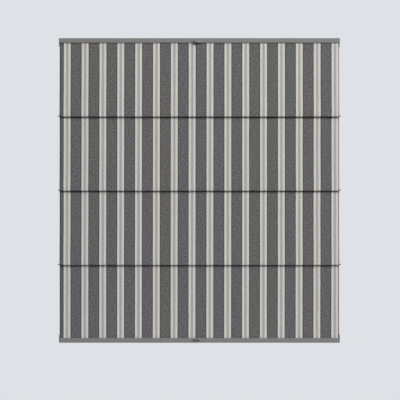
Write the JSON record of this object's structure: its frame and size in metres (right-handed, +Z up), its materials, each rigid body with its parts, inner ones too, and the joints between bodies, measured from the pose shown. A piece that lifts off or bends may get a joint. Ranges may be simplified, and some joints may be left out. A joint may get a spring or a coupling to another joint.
{
  "type": "roman blind",
  "caption": "Flat striped roman blind with forward folds on rods, held between a moving top rail and a moving bottom rail that each carry a finger grip.",
  "frame": {"origin": "middle of the upper fixing plane, on the line between the screw holes of the two upper shoes", "axes": "+Z up, front of the blind faces -Y, +X along the rails to the right as seen from the front"},
  "size_m": [1.0046, 0.0262, 1.084],
  "materials": {
    "striped_cloth": "woven, dark grey with narrow cream and grey stripes",
    "rail_metal": "satin grey coating",
    "grey_plastic": "satin, matched to the rails",
    "white_nylon": "moulded, slightly translucent look",
    "rod_metal": "drawn tube"
  },
  "bodies": {
    "fixed_frame": {"upper_shoe_left": "white_nylon", "upper_shoe_right": "white_nylon", "lower_shoe_left": "white_nylon", "lower_shoe_right": "white_nylon", "fabric": "striped_cloth", "fold_rod_1": "rod_metal", "rod_tips_1": "grey_plastic", "cord_eyes_1": "white_nylon"},
    "top_rail_body": {"top_rail": "rail_metal", "top_cap_left": "grey_plastic", "top_cap_right": "grey_plastic", "top_guide_left": "white_nylon", "top_guide_right": "white_nylon", "top_grip": "grey_plastic", "top_welt": "white_nylon"},
    "bottom_rail_body": {"bottom_rail": "rail_metal", "bottom_cap_left": "grey_plastic", "bottom_cap_right": "grey_plastic", "bottom_guide_left": "white_nylon", "bottom_guide_right": "white_nylon", "bottom_grip": "grey_plastic", "bottom_welt": "white_nylon"},
    "rod_2_body": {"fold_rod_2": "rod_metal", "rod_tips_2": "grey_plastic", "cord_eyes_2": "white_nylon"},
    "rod_3_body": {"fold_rod_3": "rod_metal", "rod_tips_3": "grey_plastic", "cord_eyes_3": "white_nylon"}
  },
  "joints": [
    {"name": "top_rail_slide", "type": "slide", "parent": "fixed_frame", "child": "top_rail_body", "axis": [0, 0, -1], "range_m": [0, 0.24], "deforming": ["fabric"]},
    {"name": "bottom_rail_slide", "type": "slide", "parent": "fixed_frame", "child": "bottom_rail_body", "axis": [0, 0, 1], "range_m": [0, 0.72], "deforming": ["fabric"]},
    {"name": "rod_2_slide", "type": "slide", "parent": "fixed_frame", "child": "rod_2_body", "axis": [0, 0, 1], "range_m": [0, 0.24], "deforming": ["fabric"]},
    {"name": "rod_3_slide", "type": "slide", "parent": "fixed_frame", "child": "rod_3_body", "axis": [0, 0, 1], "range_m": [0, 0.48], "deforming": ["fabric"]}
  ],
  "couplings": [
    {"joint": "rod_2_slide", "follows": "bottom_rail_slide", "ratio": 0.33333},
    {"joint": "rod_3_slide", "follows": "bottom_rail_slide", "ratio": 0.66667}
  ]
}
